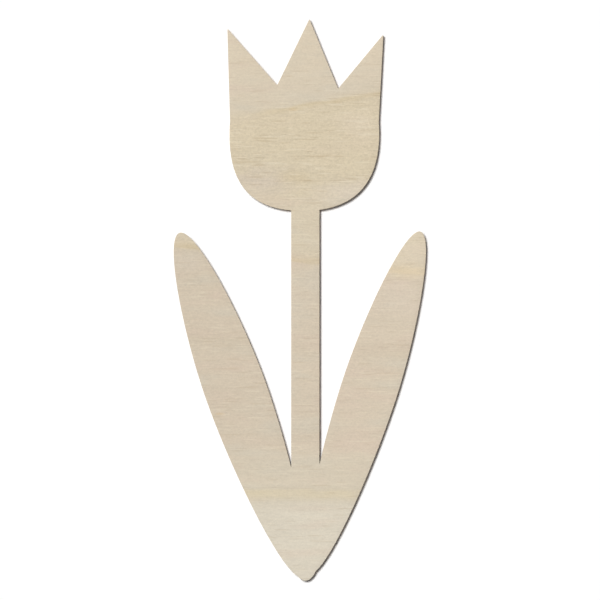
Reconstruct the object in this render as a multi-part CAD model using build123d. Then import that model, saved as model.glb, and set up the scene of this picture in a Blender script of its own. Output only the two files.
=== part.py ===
from build123d import *
import math
import os

# A flat wooden tulip, cut in one pass through a thin sheet of three-ply board.
# It lies on its back: the outline is in XY, +Y runs from the foot up to the petals, +X is the
# viewer's right, and +Z comes out of the front face. The origin is the middle of the back face.
# Sizes are in millimetres and angles in degrees.

# The sheet: two face veneers on a cross-grained core, with a film of glue on each side of the core
FACE_THICKNESS = 0.8
CORE_THICKNESS = 1.2
GLUE_THICKNESS = 0.1

# The stem: a straight bar that ends below in half an ellipse
STEM_WIDTH = 7.55
STEM_LENGTH = 98.7
FOOT_DEPTH = 8.0

# The petals: points of the head's zigzag top, out from the stem's axis and up from the head's underside,
# and the small radius that the cut leaves at each point
PETAL_CORNER_RADIUS = 0.15
LEFT_PETAL_OUT = 20.82
LEFT_PETAL_HEIGHT = 48.75
LEFT_NOTCH_OUT = 7.5
LEFT_NOTCH_HEIGHT = 33.6
MIDDLE_PETAL_RIGHT = 1.1
MIDDLE_PETAL_HEIGHT = 51.3
RIGHT_NOTCH_OUT = 8.75
RIGHT_NOTCH_HEIGHT = 32.65
RIGHT_PETAL_OUT = 20.85
RIGHT_PETAL_HEIGHT = 47.2

# The bowl of the head: it leaves each shoulder with a slight flare and rounds off to its lowest point
LEFT_SHOULDER_OUT = 20.1
RIGHT_SHOULDER_OUT = 19.6
SHOULDER_HEIGHT = 24.0
BOWL_LOW_POINT_LEFT = 0.75
BOWL_FLARE = 4.0
BOWL_SIDE_PULL = 14.3
BOWL_FLOOR_PULL = 16.1

# The leaves: each a slim oval that leans outwards, with its lower end over the stem's foot
LEFT_LEAF_LENGTH = 97.5
LEFT_LEAF_WIDTH = 16.5
LEFT_LEAF_LEAN = 19.67
LEFT_LEAF_END_OUT = 0.8
LEFT_LEAF_END_HEIGHT = 1.05
RIGHT_LEAF_LENGTH = 96.0
RIGHT_LEAF_WIDTH = 15.1
RIGHT_LEAF_LEAN = 18.0
RIGHT_LEAF_END_OUT = 1.1
RIGHT_LEAF_END_HEIGHT = 1.9

# Curve proportions of a leaf: where it is widest, from its lower end, and how full its flanks and ends are
LEAF_WIDEST_AT = 0.54
LEAF_FLANK_PULL = 0.404
LEAF_END_PULL = 0.5523

LEFT = -1
RIGHT = 1


def flower_head():
    """The head: a zigzag of three petals on a rounded bowl, with its underside at the stem's top."""
    def head_point(right, up):
        return Vector(right, STEM_LENGTH + up)

    left_shoulder = head_point(-LEFT_SHOULDER_OUT, SHOULDER_HEIGHT)
    right_shoulder = head_point(RIGHT_SHOULDER_OUT, SHOULDER_HEIGHT)
    low_point = head_point(-BOWL_LOW_POINT_LEFT, 0)
    petals = FilletPolyline(
        left_shoulder,
        head_point(-LEFT_PETAL_OUT, LEFT_PETAL_HEIGHT),
        head_point(-LEFT_NOTCH_OUT, LEFT_NOTCH_HEIGHT),
        head_point(MIDDLE_PETAL_RIGHT, MIDDLE_PETAL_HEIGHT),
        head_point(RIGHT_NOTCH_OUT, RIGHT_NOTCH_HEIGHT),
        head_point(RIGHT_PETAL_OUT, RIGHT_PETAL_HEIGHT),
        right_shoulder,
        radius=PETAL_CORNER_RADIUS,
    )

    def bowl_half(shoulder, side):
        flare = math.radians(BOWL_FLARE)
        down_the_side = Vector(side * math.sin(flare), -math.cos(flare)) * BOWL_SIDE_PULL
        along_the_floor = Vector(side * BOWL_FLOOR_PULL, 0)
        return Bezier(shoulder, shoulder + down_the_side, low_point + along_the_floor, low_point)

    outline = petals + bowl_half(left_shoulder, LEFT) + bowl_half(right_shoulder, RIGHT)
    return make_face(outline)


def stem():
    """The stem: a bar from the rounded foot up to the shoulders' level inside the head."""
    bar_top = STEM_LENGTH + SHOULDER_HEIGHT
    bar = Pos(0, (FOOT_DEPTH + bar_top) / 2) * Rectangle(STEM_WIDTH, bar_top - FOOT_DEPTH)
    foot = Pos(0, FOOT_DEPTH) * Ellipse(STEM_WIDTH / 2, FOOT_DEPTH)
    return bar + foot


def leaf(side, length, width, lean, end_out, end_height):
    """One leaf: four curves between its two ends and its two widest points, leaning to the given side."""
    half_width = width / 2
    widest_up = length * LEAF_WIDEST_AT
    end_pull = half_width * LEAF_END_PULL
    lower_pull = widest_up * LEAF_FLANK_PULL
    upper_pull = (length - widest_up) * LEAF_FLANK_PULL
    lower_end = Vector(0, 0)
    tip = Vector(0, length)

    def flank(hand):
        widest = Vector(hand * half_width, widest_up)
        end_handle = Vector(hand * end_pull, 0)
        lower = Bezier(lower_end, lower_end + end_handle, widest - Vector(0, lower_pull), widest)
        upper = Bezier(widest, widest + Vector(0, upper_pull), tip + end_handle, tip)
        return lower + upper

    upright_leaf = make_face(flank(LEFT) + flank(RIGHT))
    return Pos(side * end_out, end_height) * Rot(0, 0, -side * lean) * upright_leaf


def tulip_outline():
    """The whole cut-out as one face, centred on the origin."""
    left_leaf = leaf(LEFT, LEFT_LEAF_LENGTH, LEFT_LEAF_WIDTH, LEFT_LEAF_LEAN,
                     LEFT_LEAF_END_OUT, LEFT_LEAF_END_HEIGHT)
    right_leaf = leaf(RIGHT, RIGHT_LEAF_LENGTH, RIGHT_LEAF_WIDTH, RIGHT_LEAF_LEAN,
                      RIGHT_LEAF_END_OUT, RIGHT_LEAF_END_HEIGHT)
    tulip = flower_head() + stem() + left_leaf + right_leaf
    middle = tulip.bounding_box().center()
    return Pos(-middle.X, -middle.Y) * tulip


# The layers of the sheet from the back face to the front face, each as wide as the whole cut-out
LAYERS = [
    ("back_face_veneer", FACE_THICKNESS),
    ("back_glue_line", GLUE_THICKNESS),
    ("core_veneer", CORE_THICKNESS),
    ("front_glue_line", GLUE_THICKNESS),
    ("front_face_veneer", FACE_THICKNESS),
]

os.makedirs("parts", exist_ok=True)
outline = tulip_outline()
layer_bottom = 0
for name, thickness in LAYERS:
    layer = Pos(0, 0, layer_bottom) * extrude(outline, amount=thickness)
    export_step(layer, f"parts/{name}.step")
    layer_bottom += thickness
size = outline.bounding_box().size
print(f"tulip {size.X:.2f} wide, {size.Y:.2f} tall, {layer_bottom:.2f} thick")
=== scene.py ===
import math
from collections import namedtuple

import bpy
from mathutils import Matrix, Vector
from mathutils.geometry import delaunay_2d_cdt, interpolate_bezier


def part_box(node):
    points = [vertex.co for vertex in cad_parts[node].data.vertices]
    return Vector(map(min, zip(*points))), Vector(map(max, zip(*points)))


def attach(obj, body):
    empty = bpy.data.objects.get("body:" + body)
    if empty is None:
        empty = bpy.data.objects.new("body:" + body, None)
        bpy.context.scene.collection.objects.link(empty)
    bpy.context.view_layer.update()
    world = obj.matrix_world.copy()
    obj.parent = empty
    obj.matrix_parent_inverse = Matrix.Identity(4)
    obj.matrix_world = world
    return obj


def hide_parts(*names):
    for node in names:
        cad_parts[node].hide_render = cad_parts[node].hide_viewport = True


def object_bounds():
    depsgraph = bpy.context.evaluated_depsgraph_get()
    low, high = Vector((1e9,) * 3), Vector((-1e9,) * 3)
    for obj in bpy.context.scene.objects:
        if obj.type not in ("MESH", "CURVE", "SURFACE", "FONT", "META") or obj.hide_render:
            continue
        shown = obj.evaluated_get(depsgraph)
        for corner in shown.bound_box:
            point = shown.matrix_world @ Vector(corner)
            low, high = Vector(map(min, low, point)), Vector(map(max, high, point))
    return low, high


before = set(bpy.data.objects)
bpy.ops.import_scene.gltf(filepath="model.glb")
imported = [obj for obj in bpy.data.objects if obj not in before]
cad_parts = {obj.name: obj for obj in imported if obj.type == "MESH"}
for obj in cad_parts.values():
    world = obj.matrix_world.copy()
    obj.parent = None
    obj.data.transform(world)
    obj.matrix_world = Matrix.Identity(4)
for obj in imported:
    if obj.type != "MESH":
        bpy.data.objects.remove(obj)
cad_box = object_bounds()

# A flat plywood tulip, lying on its back and seen from straight above. Lengths are in metres, and those of
# the wood's figure in mm.
MM = 0.001

# Photograph: 600 px across, with the tulip's foot, top and left side at these pixels
PHOTO_PX = 600
PHOTO_FOOT_Y_PX = 580.7
PHOTO_TOP_Y_PX = 19.6
PHOTO_LEFT_X_PX = 173.7
CAMERA_LENS_MM = 1000.0
CAMERA_CLIP_FACTOR = 10

# Light: a high sun from the upper left and an even sky, which together light a level surface at 1
SUN_TILT = math.radians(13.7)
SUN_FROM_UPPER_LEFT = math.radians(46.5)
SUN_WIDTH = math.radians(11.4)
SUN_SHARE = 0.915
SKY_SHARE = 0.085

# Floor: half its side, how far it lies below the tulip, and how much it glows where it is seen
FLOOR_HALF = 3.0
FLOOR_DROP = 0.02 * MM
FLOOR_LIFT = 0.02

# Reading of the CAD outline: the least upward part of a normal on its upper face, the decimals of a point,
# and the turn, or the ratio of two chords, that makes a corner
LEAST_UPWARD_NORMAL = 0.9
POINT_DIGITS = 7
CORNER_TURN = math.radians(20.0)
CHORD_RATIO_AT_CORNER = 4.0

# Edge of the cut-out: the round of the outer arrises, and how far the core and the glue lie further in
ARRIS_RADIUS = 0.08 * MM
CORE_RECESS = 0.04 * MM
GLUE_RECESS = 0.02 * MM

# Mesh detail of the cut-out
OUTLINE_STEP = 0.5 * MM
MITRE_LIMIT = 2.5
ARRIS_STEPS = 3
FACE_GRID = 2.5 * MM
FACE_GRID_MARGIN = 1.2 * MM
SHARP_ANGLE = math.radians(40.0)
TRIANGLES_INSIDE_BORDER = 1
MERGE_DISTANCE = 1e-9


def srgb(red, green, blue):
    """A colour picked on screen, 0 to 255, as linear light."""
    def linear(value):
        share = value / 255
        return share / 12.92 if share <= 0.04045 else ((share + 0.055) / 1.055) ** 2.4
    return (linear(red), linear(green), linear(blue), 1.0)


WHITE = (1.0, 1.0, 1.0, 1.0)

# Colours of the bare wood, zone by zone, of its patches, lines and marks, and of the cut edge, and the tone
# of the grain's pale dashes of painted highlight
FOOT_TONE = srgb(217, 208, 190)
BASE_TONE = srgb(212, 200, 179)
LEAF_TONE = srgb(211, 197, 176)
STEM_TONE = srgb(214, 201, 177)
BOWL_TONE = srgb(213, 199, 172)
PETAL_TONE = srgb(214, 201, 179)
TIP_TONE = srgb(217, 203, 180)
ROSY_TONE = srgb(213, 195, 176)
GREY_TONE = srgb(207, 198, 180)
DUSKY_TONE = srgb(211, 198, 182)
PALE_TONE = srgb(218, 206, 190)
CREAM_TONE = srgb(222, 207, 185)
SANDY_TONE = srgb(226, 206, 173)
RING_TONE = srgb(207, 188, 149)
STRAW_TONE = srgb(218, 203, 169)
UMBER_TONE = srgb(203, 189, 167)
FLECK_TONE = srgb(208, 180, 136)
VESSEL_TONE = srgb(176, 154, 120)
# Painted highlight: the pale dashes in the grain stand for the lit sides of its grooves
PAINTED_GLINT_TONE = srgb(233, 222, 199)
CORE_TONE = srgb(204, 178, 140)
TOAST_PALE = srgb(150, 108, 70)
TOAST_DARK = srgb(84, 54, 32)
GLUE_PALE = srgb(84, 54, 32)
GLUE_DARK = srgb(44, 27, 17)

# A growth zone of a veneer: its tone, the strength of its fine grain and of its rosy and grey patches,
# and how much lighter it grows per metre to the right
Zone = namedtuple("Zone", "tone grain patches rightward")
FOOT_ZONE = Zone(FOOT_TONE, 0.95, 0.3, 0.3)
BASE_ZONE = Zone(BASE_TONE, 0.9, 0.45, 0.3)
LEAF_ZONE = Zone(LEAF_TONE, 1.0, 0.5, 0.9)
STEM_ZONE = Zone(STEM_TONE, 1.1, 0.4, 0.7)
BOWL_ZONE = Zone(BOWL_TONE, 1.45, 0.1, 0.4)
PETAL_ZONE = Zone(PETAL_TONE, 0.85, 0.5, -0.4)
TIP_ZONE = Zone(TIP_TONE, 0.85, 0.3, 0.5)

# A line along a border, sizes in mm: its tone, how far it reaches down and up, how strong it is, and the x
# at which it is half faded out to the left, over LINE_FADE either way
WHOLE_WIDTH = -100.0
LINE_FADE = 12.0
Line = namedtuple("Line", "tone down up strength fades_at", defaults=(WHOLE_WIDTH,))

# The border below a zone, sizes in mm: height on the middle line, rise per mm to the right, width of the
# change, the zone above, and the line that follows it
Border = namedtuple("Border", "height rise change zone line", defaults=(None,))
FRONT_BORDERS = (
    Border(-54.0, 0.0, 7.0, BASE_ZONE),
    Border(-51.2, 0.0, 1.0, BASE_ZONE, Line(STRAW_TONE, 3.4, 1.2, 0.55)),
    Border(-41.5, 0.0, 9.0, LEAF_ZONE),
    Border(-12.0, -0.05, 1.0, LEAF_ZONE, Line(UMBER_TONE, 4.5, 4.5, 0.4)),
    Border(10.5, -0.117, 5.0, STEM_ZONE, Line(RING_TONE, 0.6, 2.6, 0.55, -36.0)),
    Border(28.5, 0.03, 9.0, BOWL_ZONE),
    Border(51.6, 0.165, 5.0, PETAL_ZONE, Line(RING_TONE, 1.5, 0.8, 0.5, -8.0)),
    Border(61.0, 0.0, 8.0, TIP_ZONE),
)
BACK_BORDERS = (
    Border(-30.0, 0.06, 8.0, STEM_ZONE, Line(RING_TONE, 0.6, 2.5, 0.5)),
    Border(25.0, 0.12, 9.0, BOWL_ZONE, Line(RING_TONE, 2.5, 0.6, 0.5)),
    Border(58.0, 0.14, 5.0, LEAF_ZONE, Line(RING_TONE, 0.7, 2.0, 0.4)),
)

# Single marks in a veneer, sizes in mm: middle, half size along and across the grain, tone and strength.
# A mark starts and is full at these shares of its half size
Mark = namedtuple("Mark", "x y half_length half_width tone strength")
MARK_START = 1.4
MARK_FULL = 0.1
FRONT_MARKS = (
    Mark(-1.9, 50.9, 1.2, 0.6, FLECK_TONE, 0.3),
    Mark(-21.4, -30.4, 1.4, 0.4, FLECK_TONE, 0.5),
    Mark(-10.4, 31.7, 10.0, 3.8, DUSKY_TONE, 0.65),
    Mark(13.0, 29.0, 10.0, 3.4, PALE_TONE, 0.55),
    Mark(-2.0, 32.8, 4.6, 1.9, RING_TONE, 0.32),
    Mark(15.8, 46.8, 6.0, 4.0, CREAM_TONE, 0.4),
    Mark(30.4, 12.0, 6.0, 4.4, CREAM_TONE, 0.45),
    Mark(28.6, 7.6, 7.0, 2.2, SANDY_TONE, 0.38),
    Mark(26.0, 0.0, 8.0, 5.5, PALE_TONE, 0.25),
    Mark(-30.2, 10.2, 5.0, 2.6, PALE_TONE, 0.3),
    Mark(14.7, -36.5, 6.5, 3.2, ROSY_TONE, 0.45),
    Mark(4.6, 38.4, 7.0, 0.22, VESSEL_TONE, 0.65),
    Mark(3.3, 31.9, 4.5, 0.22, VESSEL_TONE, 0.35),
)

# Noise patterns: lengths along X, Y and Z in mm, a seed, and how many finer layers each has
Noise = namedtuple("Noise", "lengths seed detail", defaults=(2.0,))
GRAIN_BEND = Noise((45.0, 30.0, 30.0), 29.0)
PORES = Noise((0.45, 0.36, 0.36), 5.3, 1.0)
SPECKLE = Noise((1.0, 0.42, 0.42), 15.1, 1.0)
BROAD_BANDS = Noise((40.0, 5.0, 5.0), 9.9)
VESSEL_CLUSTERS = Noise((16.0, 8.0, 8.0), 17.9, 1.0)
BORDER_WANDER = Noise((38.0, 14.0, 14.0), 41.0)
BORDER_TREMBLE = Noise((7.0, 2.5, 2.5), 43.0)
LINE_BREAKS = Noise((16.0, 5.0, 5.0), 47.0)
TINTS = Noise((20.0, 5.0, 5.0), 59.0)
CUT_STREAKS = Noise((0.35, 0.35, 2.4), 61.0)
CUT_CLOUDS = Noise((9.0, 9.0, 3.0), 67.0)
GLUE_CLOUDS = Noise((1.2, 1.2, 0.3), 71.0, 3.0)
CORE_BANDS = Noise((5.0, 60.0, 5.0), 73.0)

# How far a pattern swings either way: bends and borders in metres, the edge of a mark in shares of its half
# size, the browning of the cut in shares, and the rest in brightness
GRAIN_BEND_REACH = 0.4 * MM
BORDER_WANDER_REACH = 0.5 * MM
BORDER_TREMBLE_REACH = 0.4 * MM
MARK_EDGE_REACH = 0.3
PORE_REACH = 0.055
SPECKLE_REACH = 0.03
BROAD_BAND_REACH = 0.02
CUT_CLOUD_REACH = 0.2
CORE_BAND_REACH = 0.05

# Spans: the two values of a pattern between which it changes, then what it gives there, or else 0 and 1.
# NOISE_SPAN is where nearly all noise lies
LINE_BREAK_SPAN = (0.3, 0.6, 0.4, 1.0)
VESSEL_CLUSTER_SPAN = (0.35, 0.65, 0.08, 0.22)
DASH_SPAN = (0.67, 0.75)
ROSY_SPAN = (0.5, 0.7)
GREY_SPAN = (0.5, 0.3)
STREAK_SPAN = (0.3, 0.7)
GLUE_SPAN = (0.3, 0.7)
NOISE_SPAN = (0.2, 0.8)

# Strands of grain: length and width in mm, a seed, and how far they swing the brightness, where they do
Strands = namedtuple("Strands", "length width seed reach", defaults=(None,))
SHORT_RIPPLES = Strands(1.5, 0.33, 3.1, 0.032)
LONG_RIPPLES = Strands(9.0, 0.36, 7.7, 0.026)
VESSELS = Strands(7.0, 0.29, 11.3)
# Painted highlights: pale dashes that stand for the lit sides of the grain's grooves
PAINTED_GLINTS = Strands(6.0, 0.31, 23.5)
SHORT_FIBRES = Strands(2.6, 0.25, 3.1, 0.08)
LONG_FIBRES = Strands(11.0, 0.4, 7.7, 0.06)

# Rows of strands: the step in the noise from row to row, its detail, and how much a dash tapers sideways
ROW_STRIDE = 7.13
ROW_DETAIL = 1.0
DASH_TAPER = 0.1

# Share of the painted highlight's tone in the pale dashes where the grain has strength 1, and how deep a
# vessel line lies in the relief
PAINTED_GLINT_SHARE = 0.24
VESSEL_DEPTH = 0.5

# The back veneer's patterns start this far from the front's, and Y and Z are moved by more than X
BACK_SEED = 300.0
SEED_STEPS = (1.0, 1.7, 2.3)

# Finish of a surface: the two values of a pattern that set its roughness, the roughness at each,
# the specular level, and the bump's strength and depth
Finish = namedtuple("Finish", "low high rough_low rough_high specular bump depth")
FACE_FINISH = Finish(-0.1, 0.1, 0.78, 0.64, 0.12, 0.4, 0.1 * MM)
CUT_FINISH = Finish(0.2, 0.8, 0.8, 0.6, 0.3, 0.5, 0.04 * MM)
CORE_FINISH = Finish(-0.1, 0.1, 0.85, 0.7, 0.2, 0.5, 0.05 * MM)
GLUE_FINISH = Finish(0.2, 0.8, 0.45, 0.65, 0.5, 0.4, 0.03 * MM)

# How far the cut has browned each kind of edge
FACE_TOAST = 0.62
CORE_TOAST = 0.8


# Outline of the cut-out, read from the CAD layer
def cad_outline(node):
    """The edge of a flat CAD layer's upper face, as points that run anticlockwise."""
    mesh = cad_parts[node].data
    runs = set()
    for polygon in mesh.polygons:
        if polygon.normal.z > LEAST_UPWARD_NORMAL:
            corners = [mesh.vertices[i].co for i in polygon.vertices]
            corners = [(round(c.x, POINT_DIGITS), round(c.y, POINT_DIGITS)) for c in corners]
            runs.update(zip(corners, corners[1:] + corners[:1]))
    following = {a: b for a, b in runs if (b, a) not in runs}
    start = min(following)
    points = [start]
    while following[points[-1]] != start:
        points.append(following[points[-1]])
    return [Vector(p) for p in points]


def smooth_outline(points):
    """The same outline as a fine chain of points: corners and straight runs kept, curves rounded."""
    count = len(points)
    chords = [points[(i + 1) % count] - points[i] for i in range(count)]

    def tangents(i):
        before, after = chords[i - 1], chords[i]
        short, long = sorted((before.length, after.length))
        is_corner = before.angle(after) > CORNER_TURN or long > short * CHORD_RATIO_AT_CORNER
        if is_corner:
            return before.normalized(), after.normalized()
        shared = before.normalized() * after.length + after.normalized() * before.length
        return shared.normalized(), shared.normalized()

    fine = []
    for i, chord in enumerate(chords):
        start, end = points[i], points[(i + 1) % count]
        reach = chord.length / 3
        handle_out = start + tangents(i)[1] * reach
        handle_in = end - tangents((i + 1) % count)[0] * reach
        steps = max(1, math.ceil(chord.length / OUTLINE_STEP))
        fine += interpolate_bezier(start, handle_out, handle_in, end, steps + 1)[:-1]
    return [p.to_2d() for p in fine]


def inset(points, distance):
    """The outline moved inwards by a distance, with long spikes at sharp corners cut short."""
    moved = []
    for i, point in enumerate(points):
        before = (point - points[i - 1]).normalized()
        after = (points[(i + 1) % len(points)] - point).normalized()
        inward = Vector((-before.y - after.y, before.x + after.x)).normalized()
        spread = max(inward.dot(Vector((-after.y, after.x))), 1 / MITRE_LIMIT)
        moved.append(point + inward * distance / spread)
    return moved


def inner_points(points):
    """A staggered grid of points inside the outline, clear of its edge."""
    inside = []
    low = [min(p[k] for p in points) for k in (0, 1)]
    high = [max(p[k] for p in points) for k in (0, 1)]
    row_step = FACE_GRID * math.sqrt(3) / 2
    for row in range(int((high[1] - low[1]) / row_step) + 1):
        y = low[1] + row * row_step
        crossings = []
        for a, b in zip(points, points[1:] + points[:1]):
            if (a.y > y) != (b.y > y):
                crossings.append(a.x + (b.x - a.x) * (y - a.y) / (b.y - a.y))
        for column in range(int((high[0] - low[0]) / FACE_GRID) + 1):
            spot = Vector((low[0] + (column + 0.5 * (row % 2)) * FACE_GRID, y))
            is_inside = sum(x < spot.x for x in crossings) % 2 == 1
            if is_inside and min((p - spot).length for p in points) > FACE_GRID_MARGIN:
                inside.append(spot)
    return inside


# Meshes of the layers
def layer_mesh(name, rings, cap_grid):
    """A closed plate from rings of outline points, lowest first; each ring is (points, z)."""
    count = len(rings[0][0])
    vertices = [(p.x, p.y, z) for points, z in rings for p in points]
    border = [(i, (i + 1) % count) for i in range(count)]
    faces = []
    for level in range(len(rings) - 1):
        low, high = level * count, (level + 1) * count
        for i, j in border:
            faces.append((low + i, low + j, high + j, high + i))
    wall_count = len(faces)
    for level, is_top in ((0, False), (len(rings) - 1, True)):
        points, z = rings[level]
        cap = delaunay_2d_cdt(points + cap_grid, border, [], TRIANGLES_INSIDE_BORDER, MERGE_DISTANCE)
        spots, _, triangles, origins, _, _ = cap
        index = {}
        for spot, (source, position) in enumerate(zip(origins, spots)):
            if source and source[0] < count:
                index[spot] = level * count + source[0]
            else:
                index[spot] = len(vertices)
                vertices.append((position.x, position.y, z))
        for triangle in triangles:
            corners = [index[spot] for spot in triangle]
            faces.append(corners if is_top else corners[::-1])
    mesh = bpy.data.meshes.new(name)
    mesh.from_pydata(vertices, [], faces)
    mesh.polygons.foreach_set("use_smooth", [i < wall_count for i in range(len(faces))])
    mesh.set_sharp_from_angle(angle=SHARP_ANGLE)
    return mesh, wall_count


def rounded_edge(outline, z_edge, direction):
    """Rings that round the arris of a face at z_edge; direction is 1 for a top and -1 for a bottom."""
    rings = []
    for step in range(ARRIS_STEPS + 1):
        turn = math.pi / 2 * step / ARRIS_STEPS
        drawn_in = ARRIS_RADIUS * (1 - math.cos(turn))
        drop = ARRIS_RADIUS * (1 - math.sin(turn))
        rings.append((inset(outline, drawn_in), z_edge - direction * drop))
    return rings


def add_layer(node, rings, face, edge, face_levels=(), cap_grid=()):
    """Makes the detailed plate for one CAD layer, with one material on its faces and one on its edge.

    The wall bands at face_levels, counted from below, wear the face's material."""
    mesh, wall_count = layer_mesh(node, rings, list(cap_grid))
    band = len(rings[0][0])
    for i, polygon in enumerate(mesh.polygons):
        is_edge = i < wall_count and i // band not in face_levels
        polygon.material_index = 1 if is_edge else 0
    mesh.materials.append(face)
    mesh.materials.append(edge)
    piece = bpy.data.objects.new(node + "_detail", mesh)
    bpy.context.scene.collection.objects.link(piece)
    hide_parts(node)
    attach(piece, "root")


# Materials
class Shader:
    """One material's node tree, with short calls to add and link its nodes."""

    def __init__(self, name, seed=0.0):
        self.material = bpy.data.materials.new(name)
        self.material.use_nodes = True
        self.tree = self.material.node_tree
        self.surface = self.tree.nodes["Principled BSDF"].inputs
        self.seed = seed
        self.place = self.add("ShaderNodeTexCoord").outputs["Object"]
        axes = self.add("ShaderNodeSeparateXYZ", {0: self.place})
        self.across, self.up = axes.outputs["X"], axes.outputs["Y"]

    def add(self, kind, inputs=(), **settings):
        node = self.tree.nodes.new(kind)
        for key, value in settings.items():
            setattr(node, key, value)
        for key, value in dict(inputs).items():
            self.set(node.inputs[key], value)
        return node

    def set(self, socket, value):
        if isinstance(value, bpy.types.NodeSocket):
            self.tree.links.new(value, socket)
        else:
            socket.default_value = value

    def math(self, operation, first, second=0.0):
        node = self.add("ShaderNodeMath", {0: first, 1: second}, operation=operation)
        return node.outputs[0]

    def total(self, first, *others):
        for other in others:
            first = self.math("ADD", first, other)
        return first

    def texture(self, place, detail):
        inputs = {"Vector": place, "Scale": 1.0, "Detail": detail}
        return self.add("ShaderNodeTexNoise", inputs).outputs["Fac"]

    def noise(self, pattern):
        """Soft noise from 0 to 1, drawn out to the pattern's lengths along X, Y and Z."""
        stretch = [1 / (length * MM) for length in pattern.lengths]
        scaled = self.add("ShaderNodeVectorMath", {0: self.place, 1: stretch}, operation="MULTIPLY")
        start = [(pattern.seed + self.seed) * step for step in SEED_STEPS]
        moved = self.add("ShaderNodeVectorMath", {0: scaled.outputs[0], 1: start}, operation="ADD")
        return self.texture(moved.outputs[0], pattern.detail)

    def rows(self, strands, up):
        """Noise in straight rows along X, alike for about a strand's length and unlike from row to row.

        Also gives the place in a row, from 0 at its sides to 1 along its middle."""
        run = self.math("MULTIPLY", self.across, 1 / (strands.length * MM))
        height = self.math("MULTIPLY", up, 1 / (strands.width * MM))
        row = self.math("MULTIPLY", self.math("FLOOR", height), ROW_STRIDE)
        spot = self.add("ShaderNodeCombineXYZ", {"X": run, "Y": row, "Z": strands.seed + self.seed})
        middle = self.math("MULTIPLY", self.math("PINGPONG", height, 0.5), 2.0)
        return self.texture(spot.outputs[0], ROW_DETAIL), middle

    def span(self, value, low, high, out_low=0.0, out_high=1.0, smooth=True):
        """The value between low and high, as a smooth or straight change from out_low to out_high."""
        node = self.add("ShaderNodeMapRange", {"Value": value, "From Min": low, "From Max": high,
                                               "To Min": out_low, "To Max": out_high})
        node.interpolation_type = "SMOOTHSTEP" if smooth else "LINEAR"
        return node.outputs["Result"]

    def swing(self, noise, reach):
        """Noise spread evenly about 0, from about -reach to reach."""
        return self.span(noise, *NOISE_SPAN, -reach, reach, smooth=False)

    def mix(self, share, first, second, blend="MIX"):
        node = self.add("ShaderNodeMixRGB", {"Fac": share, "Color1": first, "Color2": second})
        node.blend_type = blend
        return node.outputs["Color"]

    def dim(self, colour, gain):
        """The colour times a grey gain near 1."""
        grey = self.add("ShaderNodeCombineXYZ", {"X": gain, "Y": gain, "Z": gain})
        return self.mix(1.0, colour, grey.outputs[0], "MULTIPLY")

    def dress(self, finish, colour, wear, height):
        """Gives the surface its colour, a roughness that follows wear, and a bump that follows height."""
        ends = (finish.low, finish.high, finish.rough_low, finish.rough_high)
        bump = {"Strength": finish.bump, "Distance": finish.depth, "Height": height}
        self.set(self.surface["Base Color"], colour)
        self.set(self.surface["Roughness"], self.span(wear, *ends, smooth=False))
        self.set(self.surface["Specular IOR Level"], finish.specular)
        self.set(self.surface["Normal"], self.add("ShaderNodeBump", bump).outputs[0])


def face_grain(shader, strength):
    """Fine grain along X: its brightness about 0, and the shares of dark vessel lines and of pale dashes of
    painted highlight, the lit sides of its grooves.
    """
    bend = shader.swing(shader.noise(GRAIN_BEND), GRAIN_BEND_REACH)
    up = shader.math("ADD", shader.up, bend)

    def ripples(strands):
        return shader.swing(shader.rows(strands, up)[0], strands.reach)

    def dashes(strands, share):
        texture, middle = shader.rows(strands, up)
        tapered = shader.math("ADD", texture, shader.math("MULTIPLY", middle, DASH_TAPER))
        return shader.math("MULTIPLY", shader.span(tapered, *DASH_SPAN), share)

    pores = shader.swing(shader.noise(PORES), PORE_REACH)
    speckle = shader.swing(shader.noise(SPECKLE), SPECKLE_REACH)
    broad = shader.swing(shader.noise(BROAD_BANDS), BROAD_BAND_REACH)
    fine = shader.total(ripples(SHORT_RIPPLES), ripples(LONG_RIPPLES), pores, speckle)
    relief = shader.math("ADD", shader.math("MULTIPLY", fine, strength), broad)
    clusters = shader.span(shader.noise(VESSEL_CLUSTERS), *VESSEL_CLUSTER_SPAN)
    vessels = dashes(VESSELS, shader.math("MULTIPLY", clusters, strength))
    # Pale dashes of painted highlight, for the lit sides of the grain's grooves
    painted_glints = dashes(PAINTED_GLINTS, shader.math("MULTIPLY", strength, PAINTED_GLINT_SHARE))
    return relief, vessels, painted_glints


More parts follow.
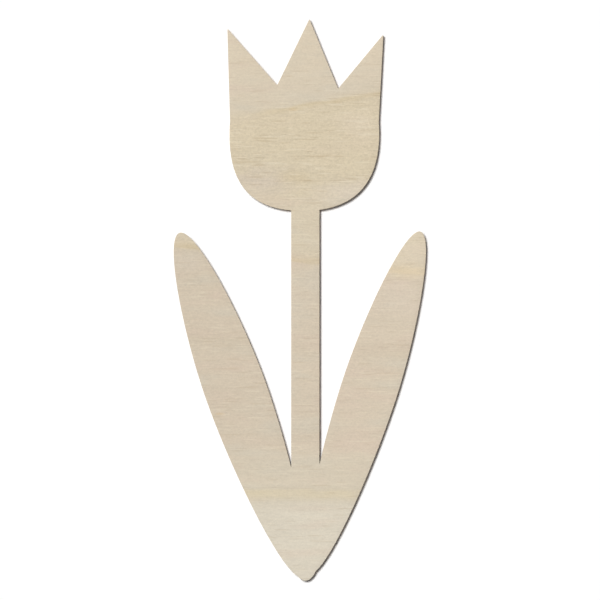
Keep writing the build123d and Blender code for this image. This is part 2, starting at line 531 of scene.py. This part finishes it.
def face_colour(shader, foot_zone, borders, marks):
    """Colour of a face veneer: growth zones with tan lines between them, marks, then the fine grain with
    its painted highlights.

    Also gives the height of its surface, for the bump."""
    wander = shader.swing(shader.noise(BORDER_WANDER), BORDER_WANDER_REACH)
    tremble = shader.noise(BORDER_TREMBLE)
    level = shader.total(shader.up, wander, shader.swing(tremble, BORDER_TREMBLE_REACH))
    broken = shader.span(shader.noise(LINE_BREAKS), *LINE_BREAK_SPAN)

    def blend(share, below, above):
        kept = shader.math("MULTIPLY", shader.math("SUBTRACT", 1.0, share), below)
        return shader.math("ADD", kept, shader.math("MULTIPLY", share, above))

    colour, grain, patches, rightward = foot_zone
    lines = []
    for border in borders:
        tilt = shader.math("MULTIPLY", shader.across, border.rise)
        past = shader.math("SUBTRACT", shader.math("SUBTRACT", level, tilt), border.height * MM)
        share = shader.span(past, -border.change / 2 * MM, border.change / 2 * MM)
        colour = shader.mix(share, colour, border.zone.tone)
        grain = blend(share, grain, border.zone.grain)
        patches = blend(share, patches, border.zone.patches)
        rightward = blend(share, rightward, border.zone.rightward)
        if border.line:
            line = border.line
            rising = shader.span(past, -line.down * MM, 0.0, 0.0, line.strength)
            falling = shader.span(past, line.up * MM, 0.0)
            fade_ends = ((line.fades_at - LINE_FADE) * MM, (line.fades_at + LINE_FADE) * MM)
            faded = shader.span(shader.across, *fade_ends)
            band = shader.math("MULTIPLY", shader.math("MULTIPLY", rising, falling), broken)
            lines.append((shader.math("MULTIPLY", band, faded), line.tone))
    tint = shader.noise(TINTS)
    rosy = shader.math("MULTIPLY", shader.span(tint, *ROSY_SPAN), patches)
    grey = shader.math("MULTIPLY", shader.span(tint, *GREY_SPAN), patches)
    colour = shader.mix(grey, shader.mix(rosy, colour, ROSY_TONE), GREY_TONE)
    for band, tone in lines:
        colour = shader.mix(band, colour, tone)
    for mark in marks:
        middle = (mark.x * MM, mark.y * MM, 0)
        apart = shader.add("ShaderNodeVectorMath", {0: shader.place, 1: middle}, operation="SUBTRACT")
        scale = (1 / (mark.half_length * MM), 1 / (mark.half_width * MM), 0)
        spread = shader.add("ShaderNodeVectorMath", {0: apart.outputs[0], 1: scale}, operation="MULTIPLY")
        length = shader.add("ShaderNodeVectorMath", {0: spread.outputs[0]}, operation="LENGTH")
        reach = shader.math("ADD", length.outputs["Value"], shader.swing(tremble, MARK_EDGE_REACH))
        share = shader.span(reach, MARK_START, MARK_FULL, 0.0, mark.strength)
        colour = shader.mix(share, colour, mark.tone)
    relief, vessels, painted_glints = face_grain(shader, grain)
    gain = shader.total(1.0, relief, shader.math("MULTIPLY", shader.across, rightward))
    colour = shader.dim(colour, gain)
    # The dark vessel lines, then the pale dashes of painted highlight on top
    colour = shader.mix(painted_glints, shader.mix(vessels, colour, VESSEL_TONE), PAINTED_GLINT_TONE)
    height = shader.math("SUBTRACT", relief, shader.math("MULTIPLY", vessels, VESSEL_DEPTH))
    return colour, height


def face_material(name, seed, foot_zone, borders, marks):
    """The face of an outer veneer: bare sanded wood."""
    shader = Shader(name, seed)
    colour, height = face_colour(shader, foot_zone, borders, marks)
    shader.dress(FACE_FINISH, colour, height, height)
    return shader.material


def fibre_grain(shader, along):
    """Fine grain about 0 of fibres along X or Y.

    It is long where a surface follows the fibres and short where it cuts them."""
    def ripples(strands):
        length, width, seed, reach = strands
        lengths = (length, width, width) if along == "X" else (width, length, width)
        return shader.swing(shader.noise(Noise(lengths, seed)), reach)

    return shader.total(ripples(SHORT_FIBRES), ripples(LONG_FIBRES))


def cut_material(name, along, wood_tone, toast):
    """The cut edge of a veneer: wood browned by the cut, in upright streaks."""
    shader = Shader(name)
    relief = fibre_grain(shader, along)
    gain = shader.math("ADD", relief, 1.0)
    wood = shader.dim(wood_tone, gain)
    streaks = shader.noise(CUT_STREAKS)
    clouds = shader.noise(CUT_CLOUDS)
    brown = shader.mix(shader.span(streaks, *STREAK_SPAN), TOAST_PALE, TOAST_DARK)
    depth = shader.math("ADD", toast, shader.swing(clouds, CUT_CLOUD_REACH))
    colour = shader.mix(depth, wood, shader.dim(brown, gain))
    shader.dress(CUT_FINISH, colour, streaks, shader.math("ADD", streaks, relief))
    return shader.material


def core_material():
    """The core's two faces, which the outer veneers cover: plain wood with its grain along Y."""
    shader = Shader("bare_core_veneer")
    relief = fibre_grain(shader, "Y")
    bands = shader.swing(shader.noise(CORE_BANDS), CORE_BAND_REACH)
    colour = shader.dim(CORE_TONE, shader.total(1.0, relief, bands))
    shader.dress(CORE_FINISH, colour, relief, relief)
    return shader.material


def glue_material():
    """The glue lines: cured film, browned where it was cut."""
    shader = Shader("browned_glue")
    clouds = shader.noise(GLUE_CLOUDS)
    colour = shader.mix(shader.span(clouds, *GLUE_SPAN), GLUE_DARK, GLUE_PALE)
    shader.dress(GLUE_FINISH, colour, clouds, clouds)
    return shader.material


def build_layers():
    """The five layers of the sheet, each a detailed plate in its CAD layer's place."""
    outline = smooth_outline(cad_outline("front_face_veneer"))
    grid = inner_points(outline)
    front = face_material("bare_front_veneer", 0.0, FOOT_ZONE, FRONT_BORDERS, FRONT_MARKS)
    back = face_material("bare_back_veneer", BACK_SEED, BASE_ZONE, BACK_BORDERS, ())
    face_edge = cut_material("cut_face_veneer", "X", LEAF_TONE, FACE_TOAST)
    core_edge = cut_material("cut_core_veneer", "Y", CORE_TONE, CORE_TOAST)
    core_face = core_material()
    glue = glue_material()

    bottom, top = (corner.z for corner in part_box("front_face_veneer"))
    upper_rings = [(outline, bottom)] + rounded_edge(outline, top, 1)
    arris_levels = range(1, ARRIS_STEPS + 1)
    add_layer("front_face_veneer", upper_rings, front, face_edge, arris_levels, grid)

    bottom, top = (corner.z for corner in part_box("back_face_veneer"))
    lower_rings = rounded_edge(outline, bottom, -1)[::-1] + [(outline, top)]
    arris_levels = range(ARRIS_STEPS)
    add_layer("back_face_veneer", lower_rings, back, face_edge, arris_levels, grid)

    inner_layers = (
        ("core_veneer", CORE_RECESS, "core_veneer", core_face, core_edge),
        ("front_glue_line", GLUE_RECESS, "glue", glue, glue),
        ("back_glue_line", GLUE_RECESS, "glue", glue, glue),
    )
    for node, recess, slot, face, edge in inner_layers:
        bottom, top = (corner.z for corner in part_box(node))
        rim = inset(outline, recess)
        add_layer(node, [(rim, bottom), (rim, top)], face, edge)


# Floor, light and camera
def seen_directly(tree):
    """1 for what the camera sees, straight or in a mirror or glass.

    It is 0 for light on its way to the object."""
    path = tree.nodes.new("ShaderNodeLightPath")
    seen = path.outputs["Is Camera Ray"]
    for kind in ("Is Glossy Ray", "Is Transmission Ray"):
        either = tree.nodes.new("ShaderNodeMath")
        either.operation = "MAXIMUM"
        tree.links.new(seen, either.inputs[0])
        tree.links.new(path.outputs[kind], either.inputs[1])
        seen = either.outputs[0]
    return seen


def add_floor():
    """A white floor that keeps the shadow."""
    mesh = bpy.data.meshes.new("floor")
    side = FLOOR_HALF
    corners = [(-side, -side, -FLOOR_DROP), (side, -side, -FLOOR_DROP),
               (side, side, -FLOOR_DROP), (-side, side, -FLOOR_DROP)]
    mesh.from_pydata(corners, [], [(0, 1, 2, 3)])
    floor = bpy.data.objects.new("floor", mesh)
    bpy.context.scene.collection.objects.link(floor)
    shader = Shader("white_floor")
    shader.set(shader.surface["Base Color"], WHITE)
    shader.set(shader.surface["Roughness"], 1.0)
    shader.set(shader.surface["Specular IOR Level"], 0.0)
    shader.set(shader.surface["Emission Color"], WHITE)
    lift = shader.math("MULTIPLY", seen_directly(shader.tree), FLOOR_LIFT)
    shader.set(shader.surface["Emission Strength"], lift)
    mesh.materials.append(shader.material)


def add_light():
    """The sun, and a sky that is white where it is seen and dim where it lights."""
    lamp = bpy.data.lights.new("sun", "SUN")
    lamp.energy = math.pi * SUN_SHARE / math.cos(SUN_TILT)
    lamp.angle = SUN_WIDTH
    sun = bpy.data.objects.new("sun", lamp)
    towards = Vector((-math.sin(SUN_TILT) * math.sin(SUN_FROM_UPPER_LEFT),
                      math.sin(SUN_TILT) * math.cos(SUN_FROM_UPPER_LEFT),
                      math.cos(SUN_TILT)))
    sun.rotation_euler = towards.to_track_quat("Z", "Y").to_euler()
    bpy.context.scene.collection.objects.link(sun)

    world = bpy.data.worlds.new("sky")
    bpy.context.scene.world = world
    world.use_nodes = True
    tree = world.node_tree
    background = tree.nodes["Background"]
    background.inputs["Color"].default_value = WHITE
    strength = tree.nodes.new("ShaderNodeMapRange")
    strength.inputs["To Min"].default_value = SKY_SHARE
    tree.links.new(seen_directly(tree), strength.inputs["Value"])
    tree.links.new(strength.outputs["Result"], background.inputs["Strength"])


def add_camera():
    """Straight above the tulip, framed as the photograph is."""
    low, high = cad_box
    metres_per_px = (high.y - low.y) / (PHOTO_FOOT_Y_PX - PHOTO_TOP_Y_PX)
    centre_x = low.x + (PHOTO_PX / 2 - PHOTO_LEFT_X_PX) * metres_per_px
    centre_y = low.y + (PHOTO_FOOT_Y_PX - PHOTO_PX / 2) * metres_per_px
    data = bpy.data.cameras.new("camera")
    data.lens = CAMERA_LENS_MM
    distance = PHOTO_PX * metres_per_px * data.lens / data.sensor_width
    data.clip_end = CAMERA_CLIP_FACTOR * distance
    camera = bpy.data.objects.new("camera", data)
    camera.location = (centre_x, centre_y, high.z + distance)
    bpy.context.scene.collection.objects.link(camera)
    bpy.context.scene.camera = camera


bpy.context.scene.view_settings.view_transform = "Standard"
build_layers()
add_floor()
add_light()
add_camera()
